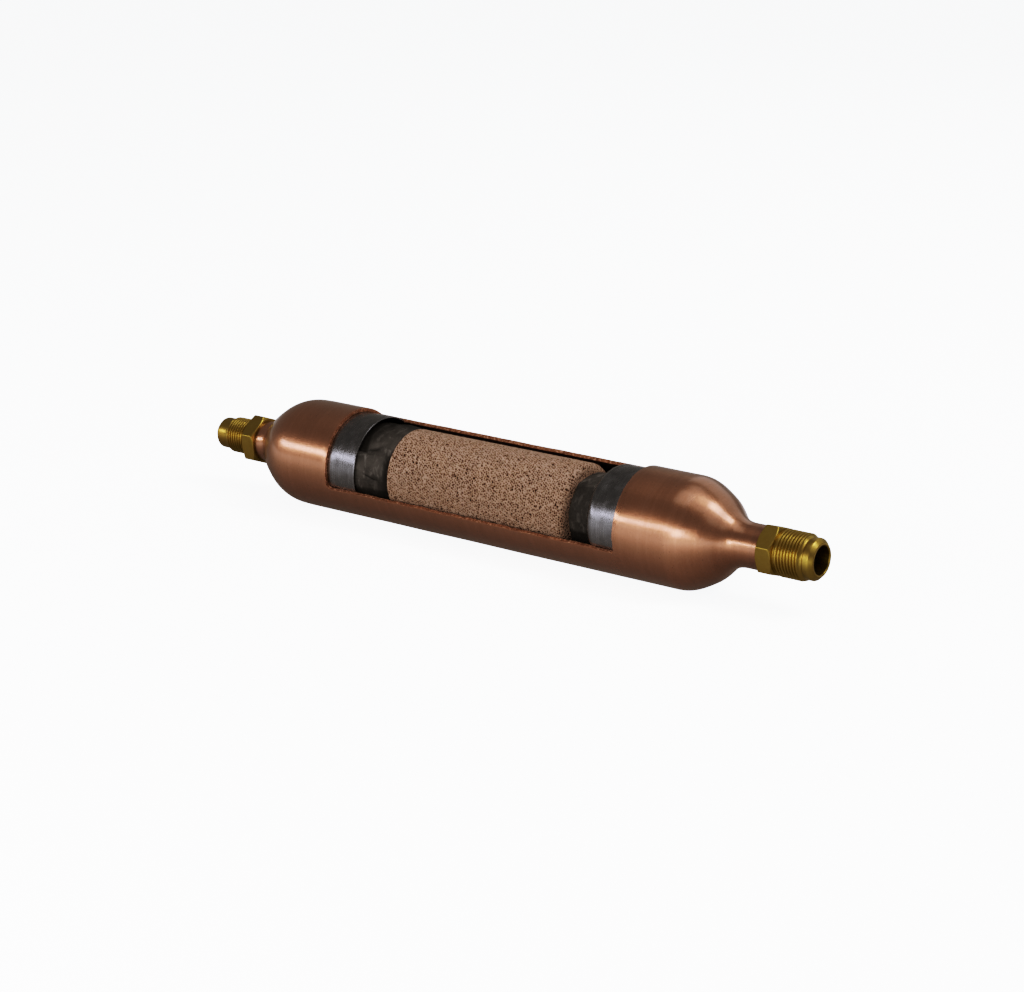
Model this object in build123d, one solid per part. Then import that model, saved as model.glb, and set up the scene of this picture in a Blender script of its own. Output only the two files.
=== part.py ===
"""Inline filter drier, cut open along one side to show what it holds.

Frame (mm): X runs along the axis of the drier, from the inlet end (-X) to the
outlet end (+X); +Z is up; the origin is on the axis, midway between the two
flare tips.  The cut-away window faces up and towards -Y.
"""
from build123d import *
import math
import os

os.makedirs("parts", exist_ok=True)

# ------------------------------------------------------------------ dimensions
# copper shell: 2-1/8 in tube, spun down to a neck at each end
SHELL_R = 27.0            # outside radius of the tube
SHELL_WALL = 1.8          # wall of the straight tube
NECK_R = 10.5             # outside radius of the spun necks
NECK_BORE_R = 8.15        # bore of the necks, thickened by the spinning
NECK_OUT_X = 153.9        # outlet neck ends here, against the hexagon
NECK_IN_X = -151.2        # inlet neck ends here
# outside profile of the spun ends, (distance from the origin, radius)
DOME_OUT = [(115.9, 26.76), (120.9, 25.28), (125.9, 22.72), (129.9, 20.28),
            (133.9, 16.72), (137.4, 13.37), (140.4, 11.52), (142.9, 10.81)]
DOME_IN = [(115.1, 26.92), (120.1, 26.55), (125.1, 25.27), (130.1, 22.92),
           (134.6, 19.94), (138.6, 16.9), (141.3, 14.2), (143.0, 12.1), (144.6, 10.95)]
DOME_OUT_START, DOME_OUT_END = 110.9, 146.0
DOME_IN_START, DOME_IN_END = 109.1, 147.6

# cut-away window in the shell
WINDOW_X0, WINDOW_X1 = -88.1, 86.9
WINDOW_A0, WINDOW_A1 = -18.1, 129.2   # degrees from -Y, turning towards +Z
WINDOW_CORNER = 2.0                   # round of the lower inlet-side corner

# pressed steel cups, both open towards the outlet
CUP_R = 25.15
CUP_T = 0.8
CUP_LEN = 22.0
CUP_ROUND = 5.0           # outside radius of the pressed shoulder
CUP_HOLE_R = 12.0         # flow hole in the base
CUP_IN_X = -93.1          # outer face of the inlet cup's base
CUP_OUT_X = 68.8          # outer face of the outlet cup's base

# bonded desiccant core
CORE_X0, CORE_X1 = -52.6, 53.9
CORE_R0, CORE_R1 = 22.0, 22.3         # slight moulding draft
CORE_ROUND0, CORE_ROUND1 = 1.0, 3.0   # rounded corners of the two ends

# wire-gauze wraps and the pads inside them
GAUZE_T = 0.8

# flare fittings: (all x along the axis, outward)
OUT = dict(hex0=153.9, hex1=162.2, af=21.9, turn=18.0, relief1=163.3, relief_r=9.9,
           thread_r=11.05, thread1=176.6, groove1=177.6, groove_r=9.35,
           nose_r=9.85, nose1=180.5, mouth_r=7.85, tip=182.5,
           bore=6.8, spigot0=145.9, spigot_r=7.94)
INL = dict(hex0=151.2, hex1=159.4, af=23.2, turn=21.0, relief1=160.4, relief_r=8.3,
           thread_r=9.2, thread1=173.6, groove1=173.6, groove_r=7.9,
           nose_r=7.9, nose1=180.2, mouth_r=5.6, tip=182.5,
           bore=5.15, spigot0=143.2, spigot_r=7.94)
HEX_CHAMFER_DEG = 30.0
BRAZE_LEN = 7.0


# --------------------------------------------------------------------- helpers
def V(x, r):
    return Vector(x, 0, r)


def spun(edges):
    """Solid of revolution about X from a closed chain of edges in the XZ plane."""
    wire = Wire(edges)
    return Solid.revolve(Face(wire), 360, Axis.X)


def turned(points):
    """Solid of revolution about X from a closed polygon of (x, radius)."""
    pts = [V(*p) for p in points]
    edges = [Edge.make_line(a, b) for a, b in zip(pts, pts[1:] + pts[:1])]
    return spun(edges)


def wall(x, r):
    """Wall thickness grows as the tube is spun down."""
    k = (SHELL_R - r) / (SHELL_R - NECK_R)
    return SHELL_WALL + (NECK_R - NECK_BORE_R - SHELL_WALL) * min(max(k, 0), 1)


def dome_profiles(start, mids, end, sign):
    """Outer and inner splines of one spun end, from the tube to the neck."""
    outer = [(start, SHELL_R)] + mids + [(end, NECK_R)]
    inner = []
    n = len(outer)
    for i, (x, r) in enumerate(outer):
        if i == 0:
            inner.append((x, SHELL_R - SHELL_WALL))
            continue
        if i == n - 1:
            inner.append((x, NECK_BORE_R))
            continue
        x0, r0 = outer[i - 1]
        x1, r1 = outer[i + 1]
        dx, dr = x1 - x0, r1 - r0
        ln = math.hypot(dx, dr)
        t = wall(x, r)
        # inward normal of the outside curve
        inner.append((x + t * dr / ln, r - t * dx / ln))
    to = [V(sign * x, r) for x, r in outer]
    ti = [V(sign * x, r) for x, r in inner]
    tang = [Vector(sign, 0, 0), Vector(sign, 0, 0)]
    return (Edge.make_spline(to, tangents=tang),
            Edge.make_spline(ti, tangents=tang), to, ti)


# ----------------------------------------------------------------------- shell
o_r, i_r, po_r, pi_r = dome_profiles(DOME_OUT_START, DOME_OUT, DOME_OUT_END, 1)
o_l, i_l, po_l, pi_l = dome_profiles(DOME_IN_START, DOME_IN, DOME_IN_END, -1)
shell = spun([
    o_r,
    Edge.make_line(po_r[-1], V(NECK_OUT_X, NECK_R)),
    Edge.make_line(V(NECK_OUT_X, NECK_R), V(NECK_OUT_X, NECK_BORE_R)),
    Edge.make_line(V(NECK_OUT_X, NECK_BORE_R), pi_r[-1]),
    i_r,
    Edge.make_line(pi_r[0], pi_l[0]),
    i_l,
    Edge.make_line(pi_l[-1], V(NECK_IN_X, NECK_BORE_R)),
    Edge.make_line(V(NECK_IN_X, NECK_BORE_R), V(NECK_IN_X, NECK_R)),
    Edge.make_line(V(NECK_IN_X, NECK_R), po_l[-1]),
    o_l,
    Edge.make_line(po_l[0], po_r[0]),
])


def wedge(x0, x1, a0, a1, r):
    """Sector of a cylinder about X, between two angles from -Y towards +Z."""
    def p(a, q):
        t = math.radians(a)
        return Vector(x0, -q * math.cos(t), q * math.sin(t))
    am = (a0 + a1) / 2
    edges = [Edge.make_line(Vector(x0, 0, 0), p(a0, r)),
             Edge.make_three_point_arc(p(a0, r), p(am, r), p(a1, r)),
             Edge.make_line(p(a1, r), Vector(x0, 0, 0))]
    return Solid.extrude(Face(Wire(edges)), Vector(x1 - x0, 0, 0))


shell = shell - wedge(WINDOW_X0, WINDOW_X1, WINDOW_A0, WINDOW_A1, 40)
# round the lower corner of the window on the inlet side
ta = math.radians(WINDOW_A0)
mid_r = SHELL_R - SHELL_WALL / 2
corner = Vector(WINDOW_X0, -mid_r * math.cos(ta), mid_r * math.sin(ta))
edge = sorted(shell.edges(), key=lambda e: (e.center() - corner).length)[0]
shell = shell.fillet(WINDOW_CORNER, [edge])


# ------------------------------------------------------------------------ cups
def cup(x0):
    """Deep-drawn steel cup with a flow hole in its base, open towards +X."""
    ro, ri = CUP_ROUND, CUP_ROUND - CUP_T
    cx, cr = x0 + CUP_ROUND, CUP_R - CUP_ROUND
    c45 = math.cos(math.pi / 4)
    a = [V(x0, CUP_HOLE_R), V(x0, cr), V(cx, CUP_R), V(x0 + CUP_LEN, CUP_R),
         V(x0 + CUP_LEN, CUP_R - CUP_T), V(cx, CUP_R - CUP_T),
         V(x0 + CUP_T, cr), V(x0 + CUP_T, CUP_HOLE_R)]
    return spun([
        Edge.make_line(a[0], a[1]),
        Edge.make_three_point_arc(a[1], V(cx - ro * c45, cr + ro * c45), a[2]),
        Edge.make_line(a[2], a[3]), Edge.make_line(a[3], a[4]),
        Edge.make_line(a[4], a[5]),
        Edge.make_three_point_arc(a[5], V(cx - ri * c45, cr + ri * c45), a[6]),
        Edge.make_line(a[6], a[7]), Edge.make_line(a[7], a[0]),
    ])


inlet_cup = cup(CUP_IN_X)
outlet_cup = cup(CUP_OUT_X)

# ------------------------------------------------------------------------ core
c0, c1 = CORE_ROUND0, CORE_ROUND1
s45 = 1 - math.cos(math.pi / 4)
pts = [V(CORE_X0, 0), V(CORE_X0, CORE_R0 - c0), V(CORE_X0 + c0, CORE_R0),
       V(CORE_X1 - c1, CORE_R1), V(CORE_X1, CORE_R1 - c1), V(CORE_X1, 0)]
desiccant_core = spun([
    Edge.make_line(pts[0], pts[1]),
    Edge.make_three_point_arc(pts[1], V(CORE_X0 + s45 * c0, CORE_R0 - s45 * c0), pts[2]),
    Edge.make_line(pts[2], pts[3]),
    Edge.make_three_point_arc(pts[3], V(CORE_X1 - s45 * c1, CORE_R1 - s45 * c1), pts[4]),
    Edge.make_line(pts[4], pts[5]), Edge.make_line(pts[5], pts[0])])


# ------------------------------------------------- gauze wraps with their pads
def wrap(points):
    """Closed gauze wrap of constant thickness and the pad that fills it.

    points: outside profile (x, radius) from the flat face nearest the inlet to
    the flat face nearest the outlet, both faces reaching the axis."""
    outer = [(points[0][0], 0)] + points + [(points[-1][0], 0)]
    n = len(points)
    inner = []
    for i, (x, r) in enumerate(points):
        # offset each corner by the gauze thickness along its bisector
        pa = outer[i]
        pb = outer[i + 2]
        d1 = Vector(x - pa[0], 0, r - pa[1]).normalized()
        d2 = Vector(pb[0] - x, 0, pb[1] - r).normalized()
        n1 = Vector(d1.Z, 0, -d1.X)
        n2 = Vector(d2.Z, 0, -d2.X)
        b = (n1 + n2).normalized()
        m = GAUZE_T / max(b.dot(n1), 0.3)
        inner.append((x + b.X * m, r + b.Z * m))
    hollow = turned(outer) - turned([(inner[0][0], 0)] + inner + [(inner[-1][0], 0)])
    pad = turned([(inner[0][0], 0)] + inner + [(inner[-1][0], 0)])
    return hollow, pad


INLET_WRAP = [(CUP_IN_X + CUP_T, 19.0), (-91.3, 21.4), (-89.0, 23.2), (-85.5, 23.7),
              (-71.1, 23.7), (-60.0, 22.7), (-55.4, 22.1), (-53.4, 20.9), (CORE_X0, 19.3)]
OUTLET_WRAP = [(CORE_X1, 15.0), (55.4, 17.6), (57.0, 19.0), (CUP_OUT_X, 19.0)]
inlet_screen, inlet_pad = wrap(INLET_WRAP)
outlet_screen, outlet_pad = wrap(OUTLET_WRAP)


# -------------------------------------------------------------------- fittings
def flare_fitting(d, sign):
    """Brass flare fitting: spigot, hexagon, threaded barrel, 45 degree nose."""
    s = sign
    body = turned([(s * d["spigot0"], d["bore"]), (s * d["spigot0"], d["spigot_r"]),
                   (s * d["hex0"], d["spigot_r"]), (s * d["hex0"], 9.0),
                   (s * d["hex1"], 9.0), (s * d["hex1"], d["relief_r"]),
                   (s * d["relief1"], d["relief_r"]),
                   (s * (d["relief1"] + 0.9), d["thread_r"]),
                   (s * (d["thread1"] - 0.9), d["thread_r"]),
                   (s * d["thread1"], max(d["groove_r"], d["nose_r"]) + 0.1),
                   (s * d["thread1"], d["groove_r"]),
                   (s * d["groove1"], d["groove_r"]),
                   (s * d["groove1"], d["nose_r"]),
                   (s * d["nose1"], d["nose_r"]),
                   (s * d["tip"], d["mouth_r"]), (s * d["tip"], d["bore"])]
                  if d["groove1"] > d["thread1"] else
                  [(s * d["spigot0"], d["bore"]), (s * d["spigot0"], d["spigot_r"]),
                   (s * d["hex0"], d["spigot_r"]), (s * d["hex0"], 9.0),
                   (s * d["hex1"], 9.0), (s * d["hex1"], d["relief_r"]),
                   (s * d["relief1"], d["relief_r"]),
                   (s * (d["relief1"] + 0.9), d["thread_r"]),
                   (s * (d["thread1"] - 1.2), d["thread_r"]),
                   (s * d["thread1"], d["nose_r"]),
                   (s * d["nose1"], d["nose_r"]),
                   (s * d["tip"], d["mouth_r"]), (s * d["tip"], d["bore"])])
    # hexagon, its first corner turned up from -Y towards +Z; both ends chamfered
    rc = d["af"] / 2 / math.cos(math.radians(30))
    x0, x1 = sorted((s * d["hex0"], s * d["hex1"]))
    pts = [Vector(x0, -rc * math.cos(math.radians(60 * k + d["turn"])),
                  rc * math.sin(math.radians(60 * k + d["turn"]))) for k in range(6)]
    hexa = Solid.extrude(Face(Wire([Edge.make_line(a, b) for a, b in
                                    zip(pts, pts[1:] + pts[:1])])),
                         Vector(x1 - x0, 0, 0))
    rin = d["af"] / 2 - 0.15
    ch = (rc - rin) * math.tan(math.radians(HEX_CHAMFER_DEG))
    blank = turned([(x0, 0), (x0, rin), (x0 + ch, rc), (x1 - ch, rc), (x1, rin), (x1, 0)])
    bore = turned([(x0 - 1, 0), (x0 - 1, d["bore"]), (x1 + 1, d["bore"]), (x1 + 1, 0)])
    nut = (hexa & blank) - bore
    out = body + nut
    return out


outlet_fitting = flare_fitting(OUT, 1)
inlet_fitting = flare_fitting(INL, -1)


# ---------------------------------------------------------------- braze joints
def braze(d, sign):
    """Filler in the gap between the neck's bore and the spigot."""
    x0, x1 = sorted((sign * d["hex0"], sign * (d["hex0"] - BRAZE_LEN)))
    return turned([(x0, d["spigot_r"]), (x0, NECK_BORE_R), (x1, NECK_BORE_R), (x1, d["spigot_r"])])


outlet_braze = braze(OUT, 1)
inlet_braze = braze(INL, -1)

# ---------------------------------------------------------------------- export
PARTS = dict(shell=shell, inlet_fitting=inlet_fitting, outlet_fitting=outlet_fitting,
             inlet_braze=inlet_braze, outlet_braze=outlet_braze,
             inlet_cup=inlet_cup, outlet_cup=outlet_cup,
             inlet_screen=inlet_screen, inlet_pad=inlet_pad,
             outlet_screen=outlet_screen, outlet_pad=outlet_pad,
             desiccant_core=desiccant_core)
for name, shape in PARTS.items():
    sol = shape.solids()
    if len(sol) == 1:
        shape = sol[0]
    shape.label = name
    export_step(shape, f"parts/{name}.step")
    bb = shape.bounding_box()
    print(f"{name:16s} solids {len(sol)} volume {shape.volume / 1000:8.3f} cm3  "
          f"x {bb.min.X:8.2f} {bb.max.X:8.2f}  y {bb.min.Y:7.2f} {bb.max.Y:7.2f}  "
          f"z {bb.min.Z:7.2f} {bb.max.Z:7.2f}  valid {shape.is_valid}")
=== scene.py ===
import bpy, bmesh, math
import numpy as np
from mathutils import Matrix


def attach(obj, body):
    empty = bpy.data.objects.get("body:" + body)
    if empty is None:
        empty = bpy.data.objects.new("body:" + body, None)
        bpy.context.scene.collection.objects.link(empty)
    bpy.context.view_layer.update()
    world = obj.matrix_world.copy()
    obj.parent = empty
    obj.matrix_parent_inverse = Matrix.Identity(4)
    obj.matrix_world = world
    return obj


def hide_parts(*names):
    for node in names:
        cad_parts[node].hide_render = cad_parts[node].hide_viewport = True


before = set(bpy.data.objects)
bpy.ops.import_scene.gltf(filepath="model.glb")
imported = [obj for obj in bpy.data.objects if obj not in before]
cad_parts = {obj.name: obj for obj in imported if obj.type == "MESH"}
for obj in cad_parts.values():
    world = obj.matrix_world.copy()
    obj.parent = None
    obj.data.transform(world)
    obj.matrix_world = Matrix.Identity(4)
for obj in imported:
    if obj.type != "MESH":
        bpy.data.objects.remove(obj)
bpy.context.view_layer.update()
scene = bpy.context.scene
MM = 0.001
RNG = np.random.default_rng(7)
scene.view_settings.view_transform = "Standard"
scene.view_settings.look = "None"
scene.view_settings.exposure = 0.0
scene.view_settings.gamma = 1.0
# a soft shoulder and a slight toe, as a camera has
scene.view_settings.use_curve_mapping = True
cm = scene.view_settings.curve_mapping
cm.white_level = (3.0, 3.0, 3.0)
cv = cm.curves[3]
for px_, py_ in ((0.05, 0.034), (0.1, 0.082), (0.2, 0.195), (0.4, 0.41), (0.7, 0.62), (1.0, 0.75), (1.8, 0.92)):
    cv.points.new(px_ / 3.0, py_)
# warm shadows and clean highlights: green and blue lag in the dark and lead in the light
for ch, pts in ((1, ((0.02, 0.0182), (0.04, 0.0375), (0.10, 0.097), (0.22, 0.217), (0.33, 0.338), (0.45, 0.463), (0.65, 0.662), (0.85, 0.853))),
                (2, ((0.01, 0.0078), (0.022, 0.018), (0.05, 0.0455), (0.10, 0.098), (0.16, 0.169), (0.25, 0.273), (0.40, 0.43), (0.60, 0.623), (0.82, 0.828)))):
    for px_, py_ in pts:
        cm.curves[ch].points.new(px_, py_)
cm.update()


# ---------------------------------------------------------------- small helpers
def polar(x, r, th):
    """Point at distance x along the axis, radius r, angle th from -Y towards +Z."""
    x, r, th = np.broadcast_arrays(np.asarray(x, float), r, th)
    return np.stack([x, -r * np.cos(th), r * np.sin(th)], -1)


def waves(n, lo, hi, seed):
    """A smooth repeatable noise of one variable, as a sum of sines, about -1 to 1."""
    g = np.random.default_rng(seed)
    k = np.exp(g.uniform(np.log(lo), np.log(hi), n))
    a = (lo / k) ** 0.5
    p = g.uniform(0, 2 * np.pi, n)
    a = a / np.sqrt((a ** 2).sum())
    return lambda x: (a * np.sin(np.asarray(x, float)[..., None] * k * 2 * np.pi + p)).sum(-1)


def waves2(n, lo, hi, seed):
    """The same for two variables."""
    g = np.random.default_rng(seed)
    k = np.exp(g.uniform(np.log(lo), np.log(hi), n))
    d = g.uniform(0, 2 * np.pi, n)
    a = (lo / k) ** 0.6
    a = a / np.sqrt((a ** 2).sum())
    p = g.uniform(0, 2 * np.pi, n)
    def f(x, y):
        x, y = np.asarray(x, float)[..., None], np.asarray(y, float)[..., None]
        return (a * np.sin(2 * np.pi * k * (x * np.cos(d) + y * np.sin(d)) + p)).sum(-1)
    return f


def clamped(pts, t0, t1, n):
    """n points along a clamped cubic spline through pts."""
    P = np.array(pts, float)
    s = np.r_[0, np.cumsum(np.hypot(*np.diff(P, axis=0).T))]
    m = len(s)
    A, B = np.zeros((m, m)), np.zeros((m, 2))
    A[0, 0] = A[-1, -1] = 1
    B[0], B[-1] = t0, t1
    for i in range(1, m - 1):
        h0, h1 = s[i] - s[i - 1], s[i + 1] - s[i]
        A[i, i - 1], A[i, i], A[i, i + 1] = h1, 2 * (h0 + h1), h0
        B[i] = 3 * (h1 * (P[i] - P[i - 1]) / h0 + h0 * (P[i + 1] - P[i]) / h1)
    D = np.linalg.solve(A, B)
    u = np.linspace(0, s[-1], n)
    k = np.clip(np.searchsorted(s, u, side="right") - 1, 0, m - 2)
    h = (s[k + 1] - s[k])[:, None]
    t = ((u - s[k]) / h[:, 0])[:, None]
    return ((2 * t ** 3 - 3 * t ** 2 + 1) * P[k] + (t ** 3 - 2 * t ** 2 + t) * h * D[k]
            + (-2 * t ** 3 + 3 * t ** 2) * P[k + 1] + (t ** 3 - t ** 2) * h * D[k + 1])


def make(name, verts, faces, mats, fmat=None, sharp=35.0, uv=None, attrs=None, slot=None, nodes=()):
    """A piece from numpy arrays in mm; fmat is the material index of each face."""
    me = bpy.data.meshes.new(name)
    me.from_pydata((np.asarray(verts) * MM).tolist(), [], [tuple(int(v) for v in f) for f in faces])
    ob = bpy.data.objects.new(name, me)
    scene.collection.objects.link(ob)
    for m in mats:
        me.materials.append(m)
    if fmat is not None:
        me.polygons.foreach_set("material_index", np.asarray(fmat, dtype=np.int32))
    me.polygons.foreach_set("use_smooth", np.ones(len(me.polygons), dtype=bool))
    if uv is not None:
        lay = me.uv_layers.new(name="UVMap")
        vi = np.empty(len(me.loops), dtype=np.int32)
        me.loops.foreach_get("vertex_index", vi)
        lay.data.foreach_set("uv", np.asarray(uv, float)[vi].astype(np.float32).ravel())
    for k, v in (attrs or {}).items():
        at = me.attributes.new(k, "FLOAT", "POINT")
        at.data.foreach_set("value", np.asarray(v, dtype=np.float32).ravel())
    me.update()
    if sharp is not None:
        bm = bmesh.new()
        bm.from_mesh(me)
        lim = math.radians(sharp)
        for e in bm.edges:
            if len(e.link_faces) == 2 and e.calc_face_angle(0) > lim:
                e.smooth = False
        bm.to_mesh(me)
        bm.free()
    if nodes:
        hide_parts(*nodes)
    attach(ob, "root")
    return ob


def grid_faces(ni, nj, wrap_j=False, wrap_i=False, off=0, flip=False):
    """Quads of a ni by nj vertex grid, numbered row by row."""
    i = np.arange(ni if wrap_i else ni - 1)
    j = np.arange(nj if wrap_j else nj - 1)
    I, J = np.meshgrid(i, j, indexing="ij")
    I2, J2 = (I + 1) % ni, (J + 1) % nj
    f = np.stack([I * nj + J, I2 * nj + J, I2 * nj + J2, I * nj + J2], -1).reshape(-1, 4) + off
    return f[:, ::-1] if flip else f


# -------------------------------------------------------------- shader helpers
class Mat:
    """A small builder for node materials."""
    def __init__(self, name):
        self.m = bpy.data.materials.new(name)
        self.m.use_nodes = True
        self.t = self.m.node_tree
        self.b = self.t.nodes["Principled BSDF"]
        self.b.inputs["Roughness"].default_value = 0.4
        self.tc = self.t.nodes.new("ShaderNodeTexCoord")

    def n(self, kind, **kw):
        nd = self.t.nodes.new(kind)
        for k, v in kw.items():
            if k.startswith("_"):
                nd.inputs[k[1:].replace("_", " ")].default_value = v
            else:
                setattr(nd, k, v)
        return nd

    def link(self, a, b):
        self.t.links.new(a, b)
        return b

    def coords(self, scale, kind="Object", rot=(0, 0, 0), loc=(0, 0, 0)):
        mp = self.n("ShaderNodeMapping")
        mp.inputs["Scale"].default_value = scale
        mp.inputs["Rotation"].default_value = rot
        mp.inputs["Location"].default_value = loc
        self.link(self.tc.outputs[kind], mp.inputs["Vector"])
        return mp.outputs[0]

    def noise(self, vec, scale=1.0, detail=4.0, rough=0.55, dist=0.0):
        nd = self.n("ShaderNodeTexNoise")
        nd.inputs["Scale"].default_value = scale
        nd.inputs["Detail"].default_value = detail
        nd.inputs["Roughness"].default_value = rough
        nd.inputs["Distortion"].default_value = dist
        self.link(vec, nd.inputs["Vector"])
        return nd.outputs["Fac"]

    def ramp(self, fac, stops, interp="LINEAR"):
        nd = self.n("ShaderNodeValToRGB")
        cr = nd.color_ramp
        cr.interpolation = interp
        while len(cr.elements) < len(stops):
            cr.elements.new(0.5)
        for e, (p, c) in zip(cr.elements, stops):
            e.position = p
            e.color = (*c, 1) if len(c) == 3 else (c[0], c[0], c[0], 1)
        self.link(fac, nd.inputs["Fac"])
        return nd.outputs["Color"]

    def mapr(self, val, a, b, c, d):
        nd = self.n("ShaderNodeMapRange")
        for i, v in enumerate((a, b, c, d)):
            nd.inputs[1 + i].default_value = v
        self.link(val, nd.inputs[0])
        return nd.outputs[0]

    def math(self, op, a, b=None):
        nd = self.n("ShaderNodeMath", operation=op)
        for i, v in enumerate((a, b)):
            if v is None:
                continue
            if isinstance(v, (int, float)):
                nd.inputs[i].default_value = v
            else:
                self.link(v, nd.inputs[i])
        return nd.outputs[0]

    def mix(self, fac, a, b, blend="MIX"):
        nd = self.n("ShaderNodeMix", data_type="RGBA", blend_type=blend)
        if isinstance(fac, (int, float)):
            nd.inputs[0].default_value = fac
        else:
            self.link(fac, nd.inputs[0])
        for i, v in ((6, a), (7, b)):
            if isinstance(v, (tuple, list)):
                nd.inputs[i].default_value = (*v, 1)
            else:
                self.link(v, nd.inputs[i])
        return nd.outputs[2]

    def bump(self, height, strength=0.3, dist=0.0005, normal=None):
        nd = self.n("ShaderNodeBump")
        nd.inputs["Strength"].default_value = strength
        nd.inputs["Distance"].default_value = dist
        self.link(height, nd.inputs["Height"])
        if normal is not None:
            self.link(normal, nd.inputs["Normal"])
        return nd.outputs[0]

    def attr(self, name):
        nd = self.n("ShaderNodeAttribute", attribute_name=name)
        return nd.outputs["Fac"]

    def put(self, **kw):
        for k, v in kw.items():
            s = self.b.inputs[k.replace("_", " ")]
            if isinstance(v, (int, float)):
                s.default_value = v
            elif isinstance(v, (tuple, list)):
                s.default_value = (*v, 1) if len(v) == 3 and s.type == "RGBA" else v
            else:
                self.link(v, s)
        return self


# ------------------------------------------------------------------- materials
def copper_outer():
    m = Mat("copper_spun")
    # turning marks: noise that is fine along the axis and long round it
    fine = m.noise(m.coords((2300, 130, 130)), 1.0, 6.0, 0.72)
    band = m.noise(m.coords((260, 9, 9)), 1.0, 4.0, 0.6)
    patch = m.noise(m.coords((22, 30, 30)), 1.0, 5.0, 0.6)
    smear = m.noise(m.coords((75, 14, 14), loc=(3, 1, 2)), 1.0, 4.0, 0.6, 0.4)
    col = m.mix(m.mapr(patch, 0.35, 0.7, 0, 1), (0.480, 0.232, 0.140), (0.425, 0.194, 0.108))
    col = m.mix(m.mapr(band, 0.45, 0.75, 0, 0.55), col, (0.55, 0.278, 0.178))
    col = m.mix(m.mapr(fine, 0.5, 0.8, 0, 0.35), col, (0.33, 0.15, 0.08))
    speck = m.noise(m.coords((950, 800, 800), loc=(7, 2, 5)), 1.0, 3.0, 0.6)
    col = m.mix(m.mapr(speck, 0.64, 0.74, 0, 0.55), col, (0.16, 0.07, 0.04))
    grain = m.noise(m.coords((1500, 700, 700), loc=(1, 9, 4)), 1.0, 3.0, 0.7)
    col = m.mix(m.mapr(grain, 0.5, 0.75, 0, 0.4), col, (0.575, 0.29, 0.188))
    h = m.math("ADD", m.math("MULTIPLY", fine, 0.35), m.math("MULTIPLY", band, 0.65))
    h = m.math("ADD", h, m.math("MULTIPLY", grain, 0.45))
    sx_ = m.n("ShaderNodeSeparateXYZ")
    m.link(m.tc.outputs["Object"], sx_.inputs[0])
    # painted shade: the neck is darkened from 149.6 mm out along the axis, where the fitting sits, fully on the inlet
    # side and a quarter as much on the outlet side
    seat_shade = m.mapr(m.math("ABSOLUTE", sx_.outputs["X"]), 0.1496, 0.1511, 0.0, 0.8)
    seat_shade = m.math("MULTIPLY", seat_shade, m.mapr(sx_.outputs["X"], -0.01, 0.01, 1.0, 0.25))
    col = m.mix(seat_shade, col, (0.10, 0.050, 0.030))
    m.put(Base_Color=col, Metallic=1.0, Roughness=m.mapr(smear, 0.3, 0.75, 0.27, 0.38),
          Anisotropic=0.45, Anisotropic_Rotation=0.25, Normal=m.bump(h, 0.48, 0.00016))
    m.b.inputs["Coat Weight"].default_value = 0.8
    m.b.inputs["Coat Roughness"].default_value = 0.16
    m.b.inputs["Coat IOR"].default_value = 1.6
    tan = m.n("ShaderNodeTangent", direction_type="RADIAL", axis="X")
    m.link(tan.outputs[0], m.b.inputs["Tangent"])
    return m.m


def copper_cut():
    m = Mat("copper_cut_edge")
    g = m.noise(m.coords((900, 900, 900)), 1.0, 4.0, 0.7)
    l = m.noise(m.coords((120, 120, 120)), 1.0, 3.0, 0.6)
    col = m.mix(m.mapr(l, 0.35, 0.7, 0, 1), (0.42, 0.17, 0.085), (0.24, 0.09, 0.045))
    # painted highlight: sparse bright flecks on the cut edge stand in for glints
    col = m.mix(m.mapr(g, 0.50, 0.66, 0, 0.95), col, (0.86, 0.50, 0.34))
    col = m.mix(m.mapr(g, 0.42, 0.32, 0, 0.8), col, (0.08, 0.03, 0.015))
    m.put(Base_Color=col, Metallic=0.7, Roughness=m.mapr(g, 0.3, 0.8, 0.32, 0.55), Normal=m.bump(g, 0.9, 0.0004))
    return m.m


def copper_inner():
    m = Mat("copper_inside")
    g = m.noise(m.coords((180, 60, 60)), 1.0, 5.0, 0.6)
    # the inside wall is coloured near black, far darker than the outside copper
    col = m.mix(m.mapr(g, 0.35, 0.75, 0, 1), (0.014, 0.008, 0.006), (0.040, 0.020, 0.014))
    m.put(Base_Color=col, Metallic=0.7, Roughness=m.mapr(g, 0.3, 0.8, 0.55, 0.8), Normal=m.bump(g, 0.25, 0.0002))
    return m.m


def steel():
    m = Mat("steel_drawn")
    axial = m.noise(m.coords((0.06, 2.6, 1), kind="UV"), 1.0, 5.0, 0.7)
    hoop = m.noise(m.coords((2.6, 0.07, 1), kind="UV"), 1.0, 5.0, 0.7)
    blot = m.noise(m.coords((0.22, 0.22, 1), kind="UV", loc=(3.3, 1.2, 0)), 1.0, 4.0, 0.6)
    col = m.mix(m.mapr(blot, 0.3, 0.7, 0, 1), (0.146, 0.148, 0.162), (0.210, 0.214, 0.234))
    col = m.mix(m.mapr(axial, 0.55, 0.8, 0, 0.4), col, (0.09, 0.086, 0.088))
    h = m.math("ADD", m.math("MULTIPLY", axial, 0.35), m.math("MULTIPLY", hoop, 0.75))
    # the hoop marks are real draw marks in the bump; the pale and dark hoop bands in the colour are painted reflection
    col = m.mix(m.mapr(hoop, 0.5, 0.78, 0, 0.75), col, (0.37, 0.372, 0.39))
    col = m.mix(m.mapr(hoop, 0.42, 0.28, 0, 0.6), col, (0.07, 0.066, 0.066))
    m.put(Base_Color=col, Metallic=1.0, Roughness=m.mapr(blot, 0.3, 0.75, 0.21, 0.33),
          Normal=m.bump(h, 0.30, 0.0002))
    return m.m


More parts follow.
